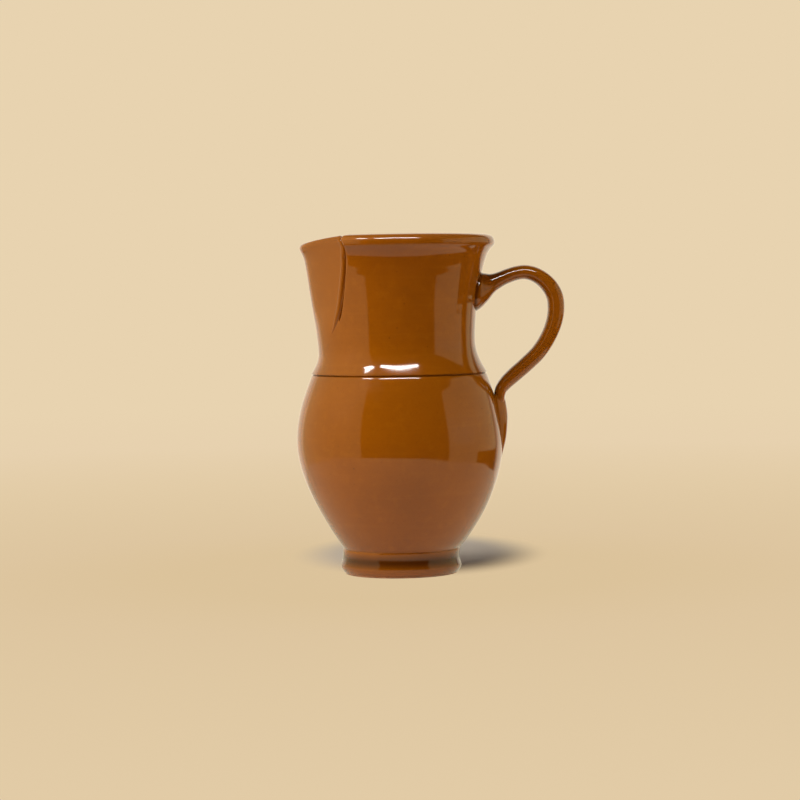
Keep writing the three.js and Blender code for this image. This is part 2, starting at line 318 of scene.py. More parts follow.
def makeGlaze(name, kind):
    look = glazeLook
    strength = glazeKinds[kind]
    material, tree = newMaterial(name)
    place = addNode(tree, "TexCoord").outputs["Object"]
    parts = addNode(tree, "SeparateXYZ", Vector=place).outputs
    height = parts["Z"]
    squares = [doMath(tree, "POWER", parts[axis], 2.0) for axis in ("X", "Y")]
    radius = doMath(tree, "SQRT", doMath(tree, "ADD", *squares))
    # Colour: broad clouds and fine mottling
    clouds = noiseAt(tree, place, 26.0, 3.0, 0.55)
    cloudy = rampUp(tree, clouds, 0.40, 0.70, strength["clouds"])
    colour = blendColour(tree, cloudy, look["middle"], look["deep"])
    patches = noiseAt(tree, place, 150.0, 3.0, 0.6)
    patchy = rampUp(tree, patches, 0.50, 0.74, strength["patches"])
    colour = blendColour(tree, patchy, colour, look["pale"])
    mottling = noiseAt(tree, place, 700.0, 2.0, 0.6)
    mottled = rampUp(tree, mottling, 0.52, 0.76, strength["mottling"])
    colour = blendColour(tree, mottled, colour, look["deep"])
    if kind == "turned":
        colour = addWheelMarks(tree, place, height, radius, colour)
    else:
        colour = addRootCreaseShade(tree, parts["X"], height, radius, colour)
    # Iron specks, here and there
    cells = addNode(tree, "TexVoronoi", Vector=place, Scale=190.0)
    chosen = addNode(tree, "SeparateColor", Color=cells.outputs["Color"]).outputs[0]
    chosen = doMath(tree, "GREATER_THAN", chosen, 0.86)
    speck = doMath(tree, "SUBTRACT", 1.0, rampUp(tree, cells.outputs["Distance"], 0.04, 0.14))
    speck = doMath(tree, "MULTIPLY", speck, chosen)
    colour = blendColour(tree, doMath(tree, "MULTIPLY", speck, 0.5), colour, look["iron"])
    # Bare clay under the base, with an uneven edge of glaze
    wobble = doMath(tree, "MULTIPLY", doMath(tree, "SUBTRACT", noiseAt(tree, place, 130.0), 0.5), 0.0014)
    glazed = rampUp(tree, doMath(tree, "ADD", height, wobble), 0.0006, 0.0011)
    bare = doMath(tree, "SUBTRACT", 1.0, glazed)
    clayGrain = noiseAt(tree, place, 900.0, 4.0, 0.7)
    clay = blendColour(tree, rampUp(tree, clayGrain, 0.35, 0.75, 0.5), look["bareClay"], look["bareGrain"])
    colour = blendColour(tree, bare, colour, clay)
    # Surface: soft throwing rings, orange peel, a grain where the clay is bare
    rings = noiseAt(tree, place, 1.0, 2.0, 0.5, stretch=strength["stretch"])
    peel = noiseAt(tree, place, 230.0, 2.0, 0.5)
    waves = noiseAt(tree, place, 60.0, 1.0, 0.5)
    lift = doMath(tree, "MULTIPLY", rings, strength["rings"])
    lift = doMath(tree, "MULTIPLY_ADD", peel, strength["peel"], lift)
    lift = doMath(tree, "MULTIPLY_ADD", waves, strength["waves"], lift)
    lift = doMath(tree, "MULTIPLY_ADD", speck, -0.00001, lift)
    lift = doMath(tree, "MULTIPLY_ADD", doMath(tree, "MULTIPLY", clayGrain, bare), 0.00015, lift)
    bump = addNode(tree, "Bump", Strength=1.0, Distance=1.0, Height=lift).outputs[0]
    duller = rampUp(tree, noiseAt(tree, place, 48.0, 4.0, 0.65), 0.45, 0.8, 0.05)
    roughness = doMath(tree, "ADD", duller, look["roughness"])
    roughness = doMath(tree, "MULTIPLY_ADD", bare, 0.65, roughness)
    values = {"Base Color": colour, "Roughness": roughness, "Normal": bump, "IOR": look["iorOfGlass"]}
    shader = addNode(tree, "BsdfPrincipled", **values)
    addNode(tree, "OutputMaterial", Surface=shader.outputs[0])
    return material


turnedGlaze = makeGlaze("turnedGlaze", "turned")
formedGlaze = makeGlaze("formedGlaze", "formed")
print("glaze mixed")

# Outlines of the pot

potSizes = {
    "wheelSteps": 256,
    "shoulder": 141.7,     # height of the incised ring, where neck and belly meet
    "grooveDepth": 0.7,
    "fingerRings": 0.16,   # depth of the rings that fingers left inside
    "fingerSpacing": 9.1,
    "outerRings": 0.02,
}


def ringed(points, depth, spacing, phase):
    # Throwing rings: radii that swing a little, at uneven spacing
    drift = [noise.noise((phase, z / 17, 0)) * 2.5 for _, z in points]
    return [
        (r + depth * math.sin(math.tau * z / spacing + phase + d), z)
        for (r, z), d in zip(points, drift)
    ]


footSizes = {
    "floorThickness": 9,
    "outline": [
        (40.0, 0.7), (40.9, 1.8), (41.8, 3.2), (42.5, 4.7), (42.75, 5.9), (42.5, 7.2), (42.0, 8.8),
        (41.5, 10.4), (41.25, 11.9), (41.25, 13.6), (41.4, 15.4), (41.55, 16.9),
    ],
    "ring": [(41.5, 17.4), (41.35, 17.75), (41.25, 18.0)],
    "bowlEdge": (32.9, 18),
    "flatRadius": 38.4,
    "undercut": [(39.1, 0.05), (39.65, 0.3)],
}
stringMarks = {
    "centre": (-52, 8),
    "squeeze": 0.9,
    "spacing": 1.25,
    "depth": 0.14,
    "reach": 38.5,
    "fade": 3,
}


def makeFoot():
    f = footSizes
    under = [(r, 0.0) for r in np.linspace(0, f["flatRadius"], 28)] + f["undercut"]
    wall = [tuple(p) for p in lineThrough(f["outline"], 26)]
    bowl = curveLine(f["bowlEdge"], (225, 8), (0, f["floorThickness"]), (180, 20), 30)
    rings = [(r, z + 0.12 * math.sin(r / 3.2) * min(1, r / 6)) for r, z in bowl[1:-1]]
    piece = drawProfile("potFoot", under + wall + f["ring"] + [bowl[0]] + rings + [bowl[-1]])
    turnOnWheel(piece, potSizes["wheelSteps"])

    def cutByString(points):
        # Shell-shaped ripples where a twisted string cut the pot from the wheel
        m = stringMarks
        x, y = points[:, 0], points[:, 1]
        reach = np.hypot(x - m["centre"][0], y * m["squeeze"] - m["centre"][1])
        radius = np.hypot(x, y)
        flat = (points[:, 2] < 0.01) & (radius < m["reach"])
        ripple = m["depth"] * (1 + np.sin(reach / m["spacing"] + np.sin(y / 9)))
        points[:, 2] += np.where(flat, ripple * smoothStep(m["reach"] - radius, 0, m["fade"]), 0)
        return points

    shape(piece, cutByString)
    return piece


bellySizes = {
    "foot": (41.7, 18.9),
    "middle": (73.0, 93.5),
    "top": (62.2, 140.98),
    "wallBelow": 8.5,
    "wallAbove": 5.5,
    "lip": [(61.95, 141.3), (61.7, 141.55)],
    "lipRadius": 62.1,
}
bellyLine = curveLine(bellySizes["foot"], (48, 8), bellySizes["middle"], (90, 32), 62)
bellyLine += curveLine(bellySizes["middle"], (90, 14), bellySizes["top"], (112.5, 17), 40)[1:]


def bellyRadius(z):
    line = np.array(bellyLine)
    return np.interp(z, line[:, 1], line[:, 0])


def makeBelly():
    b = bellySizes
    outer = ringed(bellyLine, potSizes["outerRings"], 7.3, 0.4)
    inner = [
        (r - b["wallBelow"] + (b["wallBelow"] - b["wallAbove"]) * float(smoothStep(z, 18, 63)), z)
        for r, z in bellyLine[2:-1:2]
    ]
    inner = ringed(inner, potSizes["fingerRings"], potSizes["fingerSpacing"], 1.7)[::-1]
    bottom = [footSizes["bowlEdge"], footSizes["ring"][-1], (41.4, 18.35)]
    shoulder = potSizes["shoulder"]
    top = [(b["lipRadius"] - depth, shoulder) for depth in (potSizes["grooveDepth"], b["wallAbove"])]
    piece = drawProfile("potBelly", bottom + outer + b["lip"] + top + inner + bottom[:1])
    turnOnWheel(piece, potSizes["wheelSteps"])
    return piece


neckSizes = {
    "foot": (62.4, 142.6),
    "waist": (54.9, 165.5),
    "top": (63.85, 226),
    "outerRim": [
        (63.85, 226.0), (64.7, 227.4), (65.6, 228.7), (66.6, 229.9), (67.7, 231.0), (68.6, 232.1),
        (69.0, 233.3), (69.0, 234.6), (68.75, 235.9), (68.2, 237.1), (67.35, 238.2), (65.9, 239.05),
        (63.6, 239.6), (61.3, 239.93), (59.8, 240.0),
    ],
    "innerRim": [
        (57.2, 226.0), (57.15, 229.0), (57.0, 232.0), (56.95, 235.0), (57.1, 237.2), (57.6, 238.7),
        (58.5, 239.7), (59.8, 240.0),
    ],
    "rimStart": 226,
    "rimSlope": 0.26,
    "rimRows": 26,
    "rimMiddle": (61.6, 234.2),
    "innerWall": [
        (141.7, 56.6), (146, 55.2), (152, 52.6), (158, 50.7), (165.5, 49.9), (180, 50.5), (200, 53.1),
        (218, 56.3), (226, 57.2),
    ],
    # The joint's lower edge, outside and inside, at the same heights
    "outerJoint": [(61.4, 141.7), (61.66, 141.9), (61.9, 142.1), (62.07, 142.35)],
    "innerJoint": [(56.6, 141.7), (56.54, 141.9), (56.48, 142.1), (56.4, 142.35)],
    "openColumns": 20,     # columns of the wheel's turn on each side of the spout's middle that are cut out
    "cutReach": 58,        # radius at which the distance from the cut's edge is taken
    "cutDepth": 0.35,      # where in the wall the cut's edge draws together
    "footRounding": 0.12,  # of that edge, at the spout's foot, higher up, and at the rim
    "edgeRounding": 2.3,
    "endRounding": 3.6,
    "roundingGrows": (172, 187),
}
neckLine = curveLine(neckSizes["foot"], (122, 9), neckSizes["waist"], (90, 9.1), 40)
neckLine += curveLine(neckSizes["waist"], (90, 13.5), neckSizes["top"], (66.3, 13.6), 60)[1:]


def neckRadius(z):
    # The neck's outer face, carried on in a straight line above the start of the rim
    n = neckSizes
    line = np.array(neckLine)
    above = np.maximum(z - n["rimStart"], 0) * n["rimSlope"]
    return np.interp(z, line[:, 1], line[:, 0]) + above


spoutSizes = {
    "halfAngle": 57,
    "footHeight": 161,
    "seamStart": 161.4,
    "lipHeight": 239.3,
    "opening": 0.21,       # how fast the opening widens upwards
    "closing": 4,          # degrees by which it closes again at the lip
    "swellReach": 56,      # how far round the neck the swelling under the beak goes
    "overlap": 3.0,        # how far the low edge runs on behind the neck's wall
    "overlapRadius": 57,
    "overlapEnds": (172, 182),
    "flushDepth": 0.06,    # how deep it lies under the wall's face
    "standsOut": (170, 192),
    "lipDip": 4.4,
    "wall": 4.9,
    "halfWidth": 55,       # from the middle to a seam, along the wall
    "sideAngle": 40,
    "beak": 0.35,          # how tightly the beak turns at its middle
    "crowding": 0.32,      # how much the columns crowd towards the seams, where the wall turns in
    "climb": 1.15,         # how the rows crowd towards the foot
    "calming": 0.8,        # how much the roll calms down near the seams
    "calmFrom": (0.12, 0.62),
    "middleLine": [
        (148, 59.42), (151, 58.06), (154, 57.15), (157.7, 56.85), (162, 57.1), (166.2, 57.5),
        (174.8, 58.45), (183.3, 59.6), (191.8, 60.9), (200.3, 62.2), (208.9, 63.6), (217.4, 65.1),
        (226, 66.7), (234, 68.0), (240, 68.9),
    ],
    "sink": [
        (153, 0.06), (165, 0.1), (175, 0.2), (187, 0.5), (200, 0.95), (209, 1.3), (218, 1.8), (228, 2.4),
        (240, 3.0),
    ],
    # The rolled lip: how far out from the face and how far below the lip's top, from outside to inside
    "roll": [
        (0, 13), (0.1, 11.4), (0.32, 9.8), (0.66, 8.3), (1.1, 6.9), (1.55, 5.6), (1.85, 4.5), (1.85, 3.3),
        (1.4, 2.1), (0.5, 1.05), (-0.7, 0.35), (-1.9, 0.0),
    ],
    "rollInside": [
        (-4.9, 13), (-4.85, 11), (-4.8, 9), (-4.7, 7.2), (-4.6, 5.6), (-4.45, 4.2), (-4.15, 2.7),
        (-3.6, 1.4), (-2.8, 0.45), (-1.9, 0.0),
    ],
    "rollMiddle": 6,       # below the lip's top
    "faceRows": 64,
    "rollRows": 18,
    "endRounding": 3.2,
    "columns": 88,
}


def spoutShare(z):
    s = spoutSizes
    return np.clip((z - s["footHeight"]) / (s["lipHeight"] - s["footHeight"]), 1e-6, 1)


def seamAngle(z):
    s = spoutSizes
    closing = np.radians(s["closing"]) * smoothStep(z, 229, 240)
    return np.radians(s["halfAngle"]) * spoutShare(z) ** s["opening"] - closing


def bodySwell(angle, z):
    # How far the wall swells out under the beak and beside its lower half
    reach = np.clip(np.abs(angle) / math.radians(spoutSizes["swellReach"]), 0, 1)
    over = np.maximum(along(spoutSizes["middleLine"], z) - neckRadius(z), 0) * smoothStep(z, 148, 152)
    return over * (1 - reach ** 2) ** 2


def beakShare(z):
    # 0 where the spout is one with the neck, 1 where it stands as a beak
    return smoothStep(z, *spoutSizes["standsOut"])


def seamAbove(z):
    # The seam's angle, which below the seam's start stays as it is there
    return seamAngle(np.maximum(z, spoutSizes["seamStart"]))


def seamHeight(angle):
    # The height at which the seam stands at an angle from the spout's middle
    s = spoutSizes
    share = np.abs(angle) / math.radians(s["halfAngle"])
    return s["footHeight"] + (s["lipHeight"] - s["footHeight"]) * share ** (1 / s["opening"])


def makeNeck():
    n = neckSizes
    steps = potSizes["wheelSteps"]
    openAngle = math.tau * n["openColumns"] / steps
    openHeight = float(seamHeight(openAngle))
    heights = np.concatenate([
        np.linspace(n["foot"][1], 152, 11),
        np.linspace(152, openHeight, 16)[1:],
        np.linspace(openHeight, n["rimStart"], 66)[1:-1],
    ])
    outer = [(float(neckRadius(z)), float(z)) for z in heights]
    inner = [(float(along(n["innerWall"], z)), float(z)) for z in heights]
    outer = n["outerJoint"] + ringed(outer, potSizes["outerRings"], 6.7, 2.1)
    inner = n["innerJoint"] + ringed(inner, potSizes["fingerRings"], potSizes["fingerSpacing"], 0.2)
    outer += [tuple(p) for p in lineThrough(n["outerRim"], n["rimRows"])]
    inner += [tuple(p) for p in lineThrough(n["innerRim"], n["rimRows"])][:-1]
    profile = outer + inner[::-1]
    piece = drawProfile("potNeck", profile + profile[:1])
    turnOnWheel(piece, steps)
    # The opening for the spout is cut out of the wall, from a height upwards
    bpy.ops.object.mode_set(mode="EDIT")
    bpy.ops.mesh.select_all(action="DESELECT")
    bpy.ops.object.mode_set(mode="OBJECT")
    for face in piece.data.polygons:
        x, y, z = face.center
        face.select = abs(math.atan2(y, -x)) < openAngle and z > openHeight * mm
    bpy.ops.object.mode_set(mode="EDIT")
    bpy.ops.mesh.delete(type="FACE")
    bpy.ops.object.mode_set(mode="OBJECT")

    rows = np.array(profile)
    count = len(rows)
    partner = (len(outer) - 1) * 2 - np.arange(count)
    partner = np.where(partner < count, partner, np.arange(count))
    tree = kdtree.KDTree(count)
    for i, (r, z) in enumerate(profile):
        tree.insert((r, z, 0), i)
    tree.balance()

    def openForSpout(points):
        turn = np.arctan2(points[:, 1], -points[:, 0])
        radius = np.hypot(points[:, 0], points[:, 1])
        row = np.array([tree.find((r, z, 0))[1] for r, z in zip(radius, points[:, 2])])
        side = np.sign(turn)
        away = np.abs(turn)
        z = rows[row, 1]
        # Columns follow the seam and crowd towards it; rows below the opening sag with its lower edge
        lip = spoutSizes["lipHeight"]
        seam = np.where(z > openHeight, seamAngle(np.minimum(z, lip)), openAngle)
        share = np.clip((away - openAngle) / (math.pi - openAngle), 0, 1)
        crowded = share ** 2 * 1.08 / (share + 0.08)
        angle = np.where(away < openAngle - 1e-4, away, seam + (math.pi - seam) * crowded)
        lowered = openHeight - seamHeight(np.minimum(angle, openAngle))
        sag = lowered * np.clip((z - 143) / (openHeight - 143), 0, 1) ** 2
        sag = np.where(z > openHeight + 0.01, 0, sag)
        newZ = z - sag
        onOuter = row < len(outer) - n["rimRows"]
        onInner = row > len(outer) + n["rimRows"] - 3
        moved = newZ != z
        shiftOuter = neckRadius(newZ) - neckRadius(z)
        shiftInner = along(n["innerWall"], newZ) - along(n["innerWall"], z)
        shift = np.where(moved & onOuter, shiftOuter, np.where(moved & onInner, shiftInner, 0))
        own = rows[row, 0] + shift
        partnerShift = np.where(moved & onOuter, shiftInner, np.where(moved & onInner, shiftOuter, 0))
        other = rows[partner[row], 0] + partnerShift
        own = own + np.where(onOuter, bodySwell(angle, newZ) * (1 - beakShare(newZ)), 0)
        # How far a point is from the edge of the opening, along the wall
        low = np.linspace(0, openAngle, 160)
        high = np.linspace(openHeight, 240, 700)[1:]
        edgeHeights = np.concatenate([seamHeight(low), high])
        edgeAngles = np.concatenate([low, seamAngle(high)])
        near = np.flatnonzero((angle < math.radians(75)) & (newZ > 150))
        apart = np.full(len(points), 99.0)
        batch = 4000
        for first in range(0, len(near), batch):
            part = near[first:first + batch]
            across = (angle[part, None] - edgeAngles[None, :]) * n["cutReach"]
            up = np.minimum(newZ[part, None], lip) - edgeHeights[None, :]
            apart[part] = np.sqrt((across ** 2 + up ** 2).min(axis=1))
        apart = np.where(np.abs(share) < 1e-5, np.where(z >= openHeight - 0.01, 0, apart), apart)
        onEdge = (z >= openHeight - 0.01) & (z <= openHeight + 0.01) & (away < openAngle + 1e-4)
        apart = np.where(onEdge, 0, apart)
        # The wall's cut edge is rounded by a sponge, more and more towards the rim
        foot, edge = n["footRounding"], n["edgeRounding"]
        rounding = foot + (edge - foot) * smoothStep(newZ, *n["roundingGrows"])
        rounding += (n["endRounding"] - edge) * smoothStep(newZ, n["rimStart"], 234)
        inwards = np.clip(1 - apart / rounding, 0, 1)
        fullness = np.sqrt(np.clip(1 - inwards ** 2, 0, 1))
        depth = n["cutDepth"]
        isOuter = row < len(outer)
        wallMiddle = np.where(isOuter, other + (own - other) * depth, own + (other - own) * depth)
        rimShare = smoothStep(z, n["rimStart"], 233)
        spine = wallMiddle * (1 - rimShare) + n["rimMiddle"][0] * rimShare
        spineZ = newZ * (1 - rimShare) + n["rimMiddle"][1] * rimShare
        finalR = spine + (own - spine) * fullness
        finalZ = spineZ + (newZ - spineZ) * fullness
        return np.column_stack([-finalR * np.cos(angle), side * finalR * np.sin(angle), finalZ])

    shape(piece, openForSpout)
    return piece


def spoutFace(across, z):
    # A point on the beak's outer face: across from seam to seam (-1 to 1), and the height
    s = spoutSizes
    seam = seamAbove(z)
    seamRadius = neckRadius(z) - along(s["sink"], z)
    tight = s["beak"]
    nearSeam = (np.sqrt(across ** 2 + tight ** 2) - tight) / (math.sqrt(1 + tight ** 2) - tight)
    middle = along(s["middleLine"], z)
    x = -middle + (middle - seamRadius * np.cos(seam)) * nearSeam
    y = seamRadius * np.sin(seam) * across
    # Lower down the face is the neck's own wall, swollen
    body = neckRadius(z) + bodySwell(across * seam, z) - s["flushDepth"]
    share = beakShare(z)
    x += (-body * np.cos(across * seam) - x) * (1 - share)
    y += (body * np.sin(across * seam) - y) * (1 - share)
    return np.column_stack([x, y, z]), nearSeam


def makeSpout():
    s = spoutSizes
    rollOut = lineThrough(s["roll"], s["rollRows"])
    rollIn = lineThrough(s["rollInside"], s["rollRows"])[::-1]
    faceShares = np.linspace(0, 1, s["faceRows"])[:-1]
    # Each row: share of the height up to the roll, how far out, how far below the lip, and side of the wall
    table = [(share, 0, 0, 1) for share in faceShares]
    table += [(1, out, down, 1) for out, down in rollOut]
    table += [(1, out, down, -1) for out, down in rollIn[1:]]
    table += [(share, -s["wall"], 0, -1) for share in faceShares[::-1]]
    table = np.array(table)
    rowCount = len(table)
    bpy.ops.object.select_all(action="DESELECT")
    bpy.ops.mesh.primitive_grid_add(x_subdivisions=s["columns"], y_subdivisions=rowCount - 1, size=1)
    piece = startPiece("spoutBeak")
    openAngle = math.tau * neckSizes["openColumns"] / potSizes["wheelSteps"]
    openHeight = float(seamHeight(openAngle))

    def foldIntoBeak(points):
        across = np.clip(points[:, 0] * mm * 2, -1, 1)
        row = np.round((points[:, 1] * mm + 0.5) * (rowCount - 1)).astype(int)
        share, out, down, side = table[row].T
        across = across * (1 + s["crowding"] - s["crowding"] * across ** 2)
        angleShare = np.abs(across)
        lowest = seamHeight(angleShare * openAngle) - s["overlap"]
        onRoll = share >= 0.9999

        def heights(lipTop):
            rollFoot = lipTop - rollOut[0][1]
            climb = share ** s["climb"]
            onFace = lowest + (rollFoot - lowest) * climb
            sideFace = openHeight + (s["lipHeight"] - rollOut[0][1] - openHeight) * climb
            z = np.where(onRoll, lipTop - down, onFace)
            sideZ = np.where(onRoll, s["lipHeight"] - down, sideFace)
            return z, sideZ

        lipTop = np.full(len(points), s["lipHeight"])
        for _ in range(3):
            z, sideZ = heights(lipTop)
            under = s["overlap"] / s["overlapRadius"] * (1 - smoothStep(z, *s["overlapEnds"]))
            swing = angleShare * (seamAngle(sideZ) + under) / np.maximum(seamAbove(z), 1e-6)
            swing = np.clip(swing, 0, np.where(z < s["standsOut"][0], 2.0, 1 + under * 3))
            face, nearSeam = spoutFace(np.sign(across) * swing, z)
            lipTop = s["lipHeight"] - s["lipDip"] * np.maximum(1 - nearSeam, 0) ** 1.5
        outwards = np.radians(s["sideAngle"]) * np.sign(across) * swing
        direction = np.column_stack([-np.cos(outwards), np.sin(outwards), np.zeros(len(points))])
        calm = 1 - s["calming"] * smoothStep(angleShare, *s["calmFrom"])
        out = np.where(out > 0, out * calm, out)
        # Inside, the lower wall runs on into the neck's
        swell = bodySwell(swing * seamAbove(z), z) * (1 - beakShare(z))
        out = out - np.where((side < 0) & ~onRoll, swell, 0)
        moved = face + direction * out[:, None]
        # The sides and the foot of the wall draw together, out of sight inside the neck's wall
        middleOfWall = face - direction * (s["wall"] * 0.5)
        toSeam = (1 - angleShare) * s["halfWidth"]
        edge = np.minimum(toSeam, np.where(onRoll, 99, z - lowest))
        rounding = np.where(onRoll, s["endRounding"], 0.1 + 0.8 * smoothStep(z, 176, 190))
        fullness = np.sqrt(np.clip(1 - np.clip(1 - edge / rounding, 0, 1) ** 2, 0, 1))
        lip, depth = s["lipHeight"], s["rollMiddle"]
        middleOfWall[:, 2] = np.where(onRoll, lip - depth + (moved[:, 2] - lip + depth) * 0.4, moved[:, 2])
        return middleOfWall + (moved - middleOfWall) * fullness[:, None]

    shape(piece, foldIntoBeak)
    return piece


coilSizes = {
    "width": 4.6,
    "thickness": 3.6,
    "inset": 2.5,
    "proud": 1.7,
    "tilt": 50,            # degrees from the spout's middle plane to the way it stands out
    "thinnest": 0.35,      # share of its full size at the foot
    "grownAt": 0.3,        # share of its length where it has its full size
    "footHeight": 165,
    "topHeight": 237,
    "sides": 28,
    "steps": 96,
}


def makeCoil(name, side):
    c = coilSizes
    piece = rollClay(name, c["sides"], c["steps"])

    def pressIntoSeam(points):
        share = points[:, 2] / c["steps"]
        z = c["footHeight"] + (c["topHeight"] - c["footHeight"]) * share
        angle = seamAngle(z) - c["inset"] / neckRadius(z)
        across = np.clip(angle / seamAngle(z), 0, 1)
        face, _ = spoutFace(across * side, z)
        tilt = np.radians(c["tilt"])
        ones = np.ones(len(z))
        out = np.column_stack([-np.cos(tilt) * ones, side * np.sin(tilt) * ones, 0 * z])
        sideways = np.column_stack([np.sin(tilt) * ones, side * np.cos(tilt) * ones, 0 * z])
        grow = smoothStep(share, 0, c["grownAt"])
        fullness = c["thinnest"] + (1 - c["thinnest"]) * grow
        nose = np.sqrt(np.clip(1 - np.clip(1 - (1 - share) * 70 / 1.8, 0, 1) ** 2, 0, 1))
        wide = points[:, 0] * (c["width"] / 2 * fullness * nose)
        thick = points[:, 1] * (c["thickness"] / 2 * fullness * nose)
        depth = c["proud"] * (1.25 * grow - 0.25) - c["thickness"] / 2 * fullness
        return face + out * depth[:, None] + sideways * wide[:, None] + out * thick[:, None]

    shape(piece, pressIntoSeam)
    return piece


handleSizes = {
    # Middle line from inside the neck's wall to the strap's end: out, up, half thickness, half width
    "stations": [
        (51.0, 199.2, 13.4, 14.6), (54.5, 199.2, 14.2, 16.9), (56.6, 199.2, 14.4, 17.7),
        (58.6, 199.5, 13.6, 17.2), (61.5, 201.5, 11.2, 14.9), (64.5, 203.6, 8.8, 12.9),
        (67.4, 205.1, 6.9, 11.5), (70.3, 206.4, 6.0, 10.8), (73.1, 207.7, 5.55, 10.5),
        (78.9, 210.1, 5.3, 10.4), (84.5, 211.8, 5.2, 10.4), (90.2, 212.4, 5.2, 10.4),
        (96.0, 211.2, 5.3, 10.5), (101.6, 208.3, 5.5, 10.5), (106.3, 204.3, 5.8, 10.6),
        (109.9, 199.5, 6.0, 10.7), (112.1, 194.2, 6.1, 10.7), (112.75, 188.4, 6.1, 10.6),
        (112.2, 181.2, 6.0, 10.5), (109.6, 172.3, 5.8, 10.3), (105.3, 163.7, 5.6, 10.1),
        (99.15, 155.3, 5.5, 9.9), (90.15, 146.9, 5.5, 9.8), (80.3, 138.5, 5.4, 9.9),
        (75.2, 133.6, 5.0, 10.0), (72.2, 129.2, 4.4, 10.1), (71.5, 124.8, 3.9, 10.0),
        (72.2, 121.2, 3.1, 9.2), (72.8, 118.4, 1.9, 7.2),
    ],
    "wadStart": 3.6,       # along the middle line
    "wadEnd": 21.0,
    "squares": (6, 24),    # where sections that lean with the neck's wall turn square to the strap
    "wadShape": (4, 22),   # where the wad's own section goes over into the strap's
    "wadSag": 0.15,        # how far below its middle the wad is widest
    "wadPoint": 0.12,      # how much its lower end draws to a point
    "lean": 0.15,
    "leanEnds": (4, 12),
    "endRounding": 3.2,
    "power": 2.25,         # fuller than an oval
    "sides": 56,
}
handleLine = lineThrough(handleSizes["stations"], 900)
handleWay = np.concatenate([[0], np.cumsum(np.hypot(*np.diff(handleLine[:, :2], axis=0).T))])


def makeHandlePart(name, fromWay, toWay, spacing, closeEnd=False):
    h = handleSizes
    steps = int((toWay - fromWay) / spacing)
    piece = rollClay(name, h["sides"], steps)
    run = np.gradient(handleLine[:, :2], handleWay, axis=0)
    run /= np.hypot(*run.T)[:, None]

    def bendToLine(points):
        way = fromWay + (toWay - fromWay) * points[:, 2] / steps
        x, z, halfThick, halfWide = (np.interp(way, handleWay, column) for column in handleLine.T)
        # Sections lean with the neck's wall at its foot and stand square to the strap farther out
        square = smoothStep(way, *h["squares"])
        outX = -np.interp(way, handleWay, run[:, 1]) * square
        outZ = np.interp(way, handleWay, run[:, 0]) * square + (1 - square)
        length = np.hypot(outX, outZ)
        power = 2 / h["power"]
        cx = np.sign(points[:, 0]) * np.abs(points[:, 0]) ** power
        cy = np.sign(points[:, 1]) * np.abs(points[:, 1]) ** power
        wad = 1 - smoothStep(way, *h["wadShape"])
        cx = cx - h["wadSag"] * wad * (1 - cx ** 2)
        tip = np.where(cx < 0, wad, 0) * np.abs(cx)
        cy = cy * (1 - h["wadPoint"] * tip ** 2)
        end = np.ones(len(points))
        if closeEnd:
            end = np.sqrt(np.clip(1 - np.clip(1 - (toWay - way) / h["endRounding"], 0, 1) ** 2, 0, 1))
        thick = cx * halfThick * end
        wide = cy * halfWide * end
        lean = h["lean"] * thick * (1 - smoothStep(way, *h["leanEnds"]))
        return np.column_stack([x + lean + outX / length * thick, wide, z + outZ / length * thick])

    shape(piece, bendToLine)
    return piece


padSizes = {
    "ends": (76, 127.5),
    "outerLine": [
        (76, 70.3), (78, 71.0), (80.5, 71.8), (84.8, 73.1), (89, 74.4), (93.3, 75.6), (97.5, 76.4),
        (101.8, 76.9), (106, 77.25), (110, 77.4), (114, 77.15), (118.8, 76.35), (122, 75.7), (125, 75.0),
        (127.5, 74.0),
    ],
    "halfWidth": [
        (76, 1.5), (78, 2.8), (80.5, 4.4), (84.8, 6.6), (89, 8.2), (97.5, 10.4), (106, 12.0), (112, 12.6),
        (118.8, 12.0), (122, 11.3), (125, 10.2), (127.5, 8.5),
    ],
    "sunk": 2.0,
    "sides": 56,
    "steps": 60,
}


def makeTailPad():
    p = padSizes
    piece = rollClay("handleTailPad", p["sides"], p["steps"])

    def smearOnBelly(points):
        share = points[:, 2] / p["steps"]
        foot, top = p["ends"]
        z = foot + (top - foot) * share
        crest = along(p["outerLine"], z)
        centre = bellyRadius(z) - p["sunk"]
        end = np.sqrt(np.clip(1 - np.clip(1 - np.minimum(share, 1 - share) * 20, 0, 1) ** 2, 0, 1))
        halfWide = along(p["halfWidth"], z) * end
        thick = np.maximum(crest - centre, 0.3) * end
        wide = np.sign(points[:, 1]) * np.abs(points[:, 1]) ** 0.85
        high = np.sign(points[:, 0]) * np.abs(points[:, 0]) ** 1.05
        y = wide * halfWide
        curveBack = bellyRadius(z) - np.sqrt(np.maximum(bellyRadius(z) ** 2 - y ** 2, 1))
        return np.column_stack([centre + high * thick - curveBack, y, z])

    shape(piece, smearOnBelly)
    return piece


# The pieces

finishPiece(makeFoot(), "foot", turnedGlaze)
finishPiece(makeBelly(), "belly", turnedGlaze)
finishPiece(makeNeck(), "neck", turnedGlaze)
finishPiece(makeSpout(), "spout", formedGlaze)
finishPiece(makeCoil("seamCoilFront", -1), "spout_seam_coil_front", formedGlaze)
finishPiece(makeCoil("seamCoilBack", 1), "spout_seam_coil_back", formedGlaze)
wadStart, wadEnd = handleSizes["wadStart"], handleSizes["wadEnd"]
finishPiece(makeHandlePart("handleRootWad", wadStart, wadEnd, 0.5), "handle_root_wad", formedGlaze)
finishPiece(makeHandlePart("handleStrap", wadEnd, handleWay[-1], 1.0, closeEnd=True), "handle", formedGlaze)
finishPiece(makeTailPad(), "handle_tail_pad", formedGlaze)


# Stage, lights and camera

